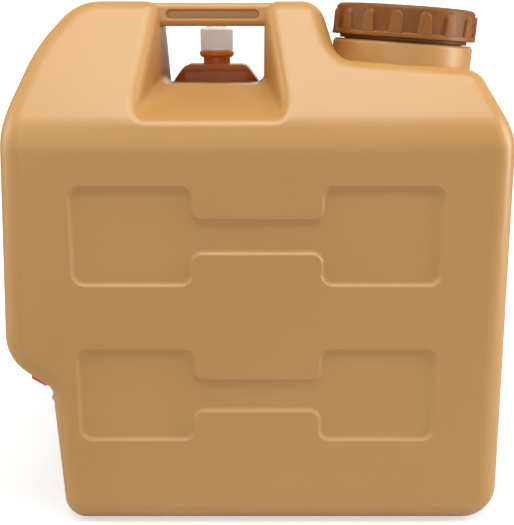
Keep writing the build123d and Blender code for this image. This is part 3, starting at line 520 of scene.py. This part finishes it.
class WATERCAN_OT_filler_cap(bpy.types.Operator):
    """Builds the ribbed filler cap"""

    bl_idname = "watercan.filler_cap"
    bl_label = "Filler cap"

    def execute(self, context):
        s = context.scene.filler_cap_settings
        mm = in_millimetres(s, (
            "skirt_r", "rib_r", "rib_width", "rib_waist", "rib_top", "flange_z", "flange",
            "top_z", "hem_r", "hem_z", "bore_r", "plate", "dish_r", "dish", "floor", "hole_r",
            "boss_r", "thread", "lead",
        ))
        top, under = mm["top_z"], mm["top_z"] - mm["plate"]
        dish_z = top - mm["dish"]
        dish_under = dish_z - mm["floor"]
        flange_top = mm["flange_z"] + mm["flange"]
        boss_drop = 1.4
        rib_step = 0.1
        rib_slope = 0.9
        columns_per_rib = 36
        line = rounded_line([
            (mm["hole_r"], dish_under - boss_drop, 0),
            (mm["hole_r"], dish_z, 0.3),
            (mm["dish_r"], dish_z, 1.0),
            (mm["dish_r"], top, 1.3),
            (mm["skirt_r"], top, 3.2),
            (mm["skirt_r"], flange_top, 0.5),
            (mm["rib_r"], flange_top, 0.8),
            (mm["rib_r"], mm["flange_z"], 0.6),
            (mm["hem_r"], mm["flange_z"], 0.8),
            (mm["hem_r"], mm["hem_z"], 0.5),
            (mm["bore_r"], mm["hem_z"], 0.5),
            (mm["bore_r"], under, 0.5),
            (mm["dish_r"] + mm["floor"], under, 0.4),
            (mm["dish_r"] + mm["floor"], dish_under, 0.6),
            (mm["boss_r"], dish_under, 0.4),
            (mm["boss_r"], dish_under - boss_drop, 0.4),
            (mm["hole_r"] + 0.2, dish_under - boss_drop, 0),
        ], 0.85)[::-1]
        angles = np.linspace(0, 2 * math.pi, s.ribs * columns_per_rib, endpoint=False)
        r, h = line[:, :1], line[:, 1:]
        # ribs: a rib is where the distance inside its rounded outline, measured on the unrolled
        # skirt, is above zero, and it rises to its height over rib_slope. It stays rib_step inside
        # the flange's edge
        pitch = 2 * math.pi / s.ribs
        around = (angles - s.rib_turn + pitch / 2) % pitch - pitch / 2
        across = np.abs(around) * mm["skirt_r"]
        up = np.clip((h - flange_top) / (mm["rib_top"] - flange_top), 0, 1)
        half = (mm["rib_width"] + (mm["rib_waist"] - mm["rib_width"]) * up) / 2
        round_r = half * 0.92
        dx = np.maximum(across[None] - (half - round_r), 0)
        dz = np.maximum(h - (mm["rib_top"] - round_r), 0)
        inside = round_r - np.sqrt(dx**2 + dz**2)
        rise = (mm["rib_r"] - mm["skirt_r"] - rib_step) * smooth_step((inside + 0.1) / rib_slope)
        on_skirt = smooth_step((r - mm["skirt_r"] + 2.2) / 2.0) * (h > flange_top - 0.05)
        spread = np.minimum(rise, mm["rib_r"] - rib_step - r) * (on_skirt > 0) * on_skirt
        spread = np.maximum(spread, 0)
        # thread: two ridges that climb by the lead in one turn, from 2 over the hem to 3 under the
        # top, and that rise from nothing over run_in at both ends
        starts, run_in = 2, 2
        low_end, high_end = mm["hem_z"] + 2, under - 3
        in_bore = (np.abs(r - mm["bore_r"]) < 0.01) & (h > low_end) & (h < high_end)
        phase = (h / mm["lead"] - angles / (2 * math.pi)) * starts % 1
        ridge = smooth_step((0.26 - np.abs(phase - 0.5)) / 0.16)
        ends = smooth_step((h - low_end) / run_in) * smooth_step((high_end - h) / run_in)
        spread = spread - in_bore * ridge * ends * mm["thread"] * 0.9
        grid = place_on_neck(turned(line, angles, spread), s)
        cap = surface("filler_cap_moulding", grid, close_rows=True)
        cap.data.materials.append(cap_plastic(s))
        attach(cap, "filler_cap")
        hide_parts("filler_cap")
        dress("vent_plug", plain_plastic("vent_brown", tuple(c * 0.8 for c in s.brown), 0.42))
        return {"FINISHED"}


class WATERCAN_OT_soap(bpy.types.Operator):
    """Finishes the soap bottle and builds its fluted cap and its nozzle"""

    bl_idname = "watercan.soap"
    bl_label = "Soap bottle"

    def execute(self, context):
        s = context.scene.soap_settings
        low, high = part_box("soap_cap")
        middle = np.array([(low.x + high.x) / 2, (low.y + high.y) / 2, 0.0])
        foot, tip = low.z / MM, high.z / MM
        mm = in_millimetres(s, (
            "cap_r", "flute", "bore_r", "plate", "cone_r", "cone", "post_r", "post",
            "post_bore_r", "pin_r", "pin", "nozzle_r",
        ))
        post_top = tip - mm["pin"]
        cap_top = post_top - mm["post"]
        under = cap_top - mm["plate"]
        way_top = post_top - 1.5
        on_axis = 0.02
        fluted_r = mm["cap_r"] - mm["flute"] * 0.5
        line = rounded_line([
            (on_axis, way_top, 0),
            (mm["post_bore_r"], way_top, 0),
            (mm["post_bore_r"], under, 0.2),
            (mm["bore_r"], under, 0.3),
            (mm["bore_r"], foot, 0.3),
            (mm["cap_r"], foot, 0.4),
            (mm["cap_r"], foot + 1.9, 0.3),
            (fluted_r, foot + 2.1, 0.3),
            (fluted_r, cap_top, 1.7),
            (mm["cone_r"], cap_top, 1.0),
            (mm["cone_r"] - 2.2, cap_top + mm["cone"], 0.6),
            (mm["post_r"], cap_top + mm["cone"], 0.2),
            (mm["post_r"], post_top, 0.4),
            (mm["pin_r"], post_top, 0.2),
            (mm["pin_r"], tip, 0.3),
            (on_axis, tip, 0),
        ], 0.7)
        angles = np.linspace(0, 2 * math.pi, s.flutes * 8, endpoint=False)
        r, h = line[:, :1], line[:, 1:]
        # flutes: the radius rises and falls by half their depth, fading out at both ends
        band = (r > mm["cap_r"] - 1.0) * smooth_step((h - foot - 2.1) / 0.8)
        band = band * smooth_step((cap_top - 1.2 - h) / 1.2)
        spread = band * (np.abs(np.cos(angles * s.flutes / 2)) - 0.6) * mm["flute"]
        grid = turned(line, angles, spread) * MM + middle
        cap = surface("soap_cap_moulding", grid, poles=(True, True))
        white = plain_plastic("closure_white", tuple(s.white), 0.34, shift=0.03,
                              Subsurface_Weight=0.25, Subsurface_Scale=0.003)
        cap.data.materials.append(white)
        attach(cap, "soap_cap")
        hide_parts("soap_cap")

        base, crown = (v.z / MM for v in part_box("soap_nozzle"))
        gap = 0.08  # running gap between the nozzle and the post and pin inside it
        line = rounded_line([
            (mm["post_r"] + gap, post_top + 0.4, 0),
            (mm["post_r"] + gap, base, 0.3),
            (mm["nozzle_r"], base, 0.6),
            (mm["nozzle_r"], base + 1.8, 0.6),
            (mm["nozzle_r"] - 1.4, base + 2.6, 0.8),
            (mm["nozzle_r"] - 1.9, post_top + 0.4, 1.2),
            (mm["nozzle_r"] - 4.0, crown, 0.9),
            (mm["pin_r"] + gap, crown, 0.3),
            (mm["pin_r"] + gap, post_top + 1.8, 0),
        ], 0.35)
        angles = np.linspace(0, 2 * math.pi, 128, endpoint=False)
        grid = turned(line, angles) * MM + middle
        nozzle = surface("soap_nozzle_moulding", grid, close_rows=True)
        nozzle.data.materials.append(white)
        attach(nozzle, "soap_nozzle")
        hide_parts("soap_nozzle")

        dress("soap_bottle", plain_plastic(
            "bottle_brown", tuple(s.bottle_brown), 0.33, blotch_scale=22.0, shift=0.12,
            Subsurface_Weight=0.10, Subsurface_Scale=0.004, Specular_IOR_Level=0.35,
        ))
        dress("soap_cap_liner", liner_foam())
        return {"FINISHED"}


class WATERCAN_OT_tap(bpy.types.Operator):
    """Finishes the tap, its lever, its valve and its pins"""

    bl_idname = "watercan.tap"
    bl_label = "Tap"

    def execute(self, context):
        grey = plain_plastic("tap_grey", (0.36, 0.36, 0.35), 0.40)
        orange = plain_plastic(
            "lever_orange", (0.82, 0.145, 0.035), 0.36, shift=0.06,
            Subsurface_Weight=0.12, Subsurface_Scale=0.002,
        )
        for node in ("tap_body", "tap_bonnet", "tap_nut", "valve_stem"):
            dress(node, grey)
        dress("tap_lever", orange)
        steel = drawn_steel()
        for node in ("lever_pin", "stem_pin", "valve_spring"):
            dress(node, steel)
        return {"FINISHED"}


class WATERCAN_OT_seals(bpy.types.Operator):
    """Finishes the gaskets, washers and seals"""

    bl_idname = "watercan.seals"
    bl_label = "Seals"

    def execute(self, context):
        black = sealing_rubber("seal_black", (0.022, 0.022, 0.024))
        pale = sealing_rubber("gasket_pale", (0.52, 0.50, 0.46))
        for node in ("tap_gasket", "tap_washer", "valve_seal", "stem_oring", "vent_seal"):
            dress(node, black)
        dress("filler_cap_gasket", pale)
        return {"FINISHED"}


class WATERCAN_OT_stage(bpy.types.Operator):
    """Sets the floor, the camera and the soft lights"""

    bl_idname = "watercan.stage"
    bl_label = "Stage"

    def execute(self, context):
        s = context.scene.stage_settings
        scene = context.scene
        # sweep: flat from the front, then up at the back on an arc of a circle, in metres
        bend_y, bend_r, bend_end = 2.2, 1.2, 1.5
        run = np.linspace(-4, 4, 60)
        bend = np.clip((run - bend_y) / bend_r, 0, None)
        z = np.where(bend > 0, bend_r * (1 - np.cos(np.minimum(bend, bend_end))), 0)
        across = np.linspace(-5, 5, 9)
        grid = np.stack([
            across[None] + 0 * run[:, None],
            run[:, None] + 0 * across[None],
            z[:, None] + 0 * across[None],
        ], -1)
        floor = surface("studio_sweep", grid[:, ::-1], close_columns=False)
        floor.data.materials.append(floor_white(0.56))

        def soft_box(name, place, aim, size, power, tint=(1, 1, 1)):
            light = bpy.data.lights.new(name, "AREA")
            light.shape = "RECTANGLE"
            light.size, light.size_y = size
            light.energy = power
            light.color = tint
            lamp = bpy.data.objects.new(name, light)
            scene.collection.objects.link(lamp)
            lamp.location = place
            direction = Vector(aim) - Vector(place)
            lamp.rotation_euler = direction.to_track_quat("-Z", "Y").to_euler()

        soft_box("top_box", (0.05, -0.35, 1.35), (0, 0, 0.3), (1.3, 0.42), s.key)
        soft_box("front_box", (-0.25, -1.9, 0.75), (0, 0, 0.2), (1.6, 1.1), s.fill)
        soft_box("right_box", (1.25, -0.15, 0.55), (0.1, 0, 0.25), (0.35, 1.0), s.rim * 1.6)
        soft_box("back_box", (0.5, 1.7, 0.85), (0, 0, 0.2), (1.4, 1.0), s.fill * 0.7)
        soft_box("left_box", (-1.3, -0.10, 0.65), (-0.1, 0, 0.25), (0.5, 1.0), s.rim)

        # air: air_light lights the can, and air_seen is what the camera sees behind it
        air_light, air_seen = 0.22, 1.05
        world = bpy.data.worlds.new("studio_air")
        scene.world = world
        world.use_nodes = True
        nodes, links = world.node_tree.nodes, world.node_tree.links
        nodes["Background"].inputs["Color"].default_value = (1, 1, 1, 1)
        nodes["Background"].inputs["Strength"].default_value = air_light
        seen = nodes.new("ShaderNodeBackground")
        seen.inputs["Color"].default_value = (1, 1, 1, 1)
        seen.inputs["Strength"].default_value = air_seen
        path = nodes.new("ShaderNodeLightPath")
        mix = nodes.new("ShaderNodeMixShader")
        links.new(path.outputs["Is Camera Ray"], mix.inputs[0])
        links.new(nodes["Background"].outputs[0], mix.inputs[1])
        links.new(seen.outputs[0], mix.inputs[2])
        links.new(mix.outputs[0], nodes["World Output"].inputs["Surface"])

        data = bpy.data.cameras.new("studio_camera")
        data.lens = s.lens
        data.sensor_width = 36
        data.clip_start = 0.02
        camera = bpy.data.objects.new("studio_camera", data)
        scene.collection.objects.link(camera)
        camera.location = (0, -s.distance, s.height)
        camera.rotation_euler = (math.pi / 2 - s.pitch, 0, 0)
        scene.camera = camera
        scene.view_settings.view_transform = "Standard"
        return {"FINISHED"}


class WATERCAN_PT_panel(bpy.types.Panel):
    """Lists the pieces of the water can"""

    bl_idname = "WATERCAN_PT_panel"
    bl_label = "Water can"
    bl_space_type = "VIEW_3D"
    bl_region_type = "UI"
    bl_category = "Water Can"

    def draw(self, context):
        for group, pieces in SECTIONS:
            box = self.layout.box()
            if group:
                settings = getattr(context.scene, group)
                for name in settings.__annotations__:
                    box.prop(settings, name)
            for piece in pieces:
                box.operator(piece.bl_idname)


GROUPS = (
    ("can_plastic_settings", CanPlasticSettings),
    ("filler_cap_settings", FillerCapSettings),
    ("soap_settings", SoapSettings),
    ("stage_settings", StageSettings),
)
SECTIONS = (
    ("can_plastic_settings", (WATERCAN_OT_can,)),
    ("filler_cap_settings", (WATERCAN_OT_filler_cap,)),
    ("soap_settings", (WATERCAN_OT_soap,)),
    (None, (WATERCAN_OT_tap, WATERCAN_OT_seals)),
    ("stage_settings", (WATERCAN_OT_stage,)),
)
OPERATORS = tuple(piece for _, pieces in SECTIONS for piece in pieces)


def register():
    for name, group in GROUPS:
        bpy.utils.register_class(group)
        setattr(bpy.types.Scene, name, PointerProperty(type=group))
    for piece in (*OPERATORS, WATERCAN_PT_panel):
        bpy.utils.register_class(piece)


def unregister():
    for piece in reversed((*OPERATORS, WATERCAN_PT_panel)):
        bpy.utils.unregister_class(piece)
    for name, group in reversed(GROUPS):
        delattr(bpy.types.Scene, name)
        bpy.utils.unregister_class(group)


def main():
    register()
    bpy.ops.watercan.can()
    bpy.ops.watercan.filler_cap()
    bpy.ops.watercan.soap()
    bpy.ops.watercan.tap()
    bpy.ops.watercan.seals()
    bpy.ops.watercan.stage()


if __name__ == "__main__":
    main()
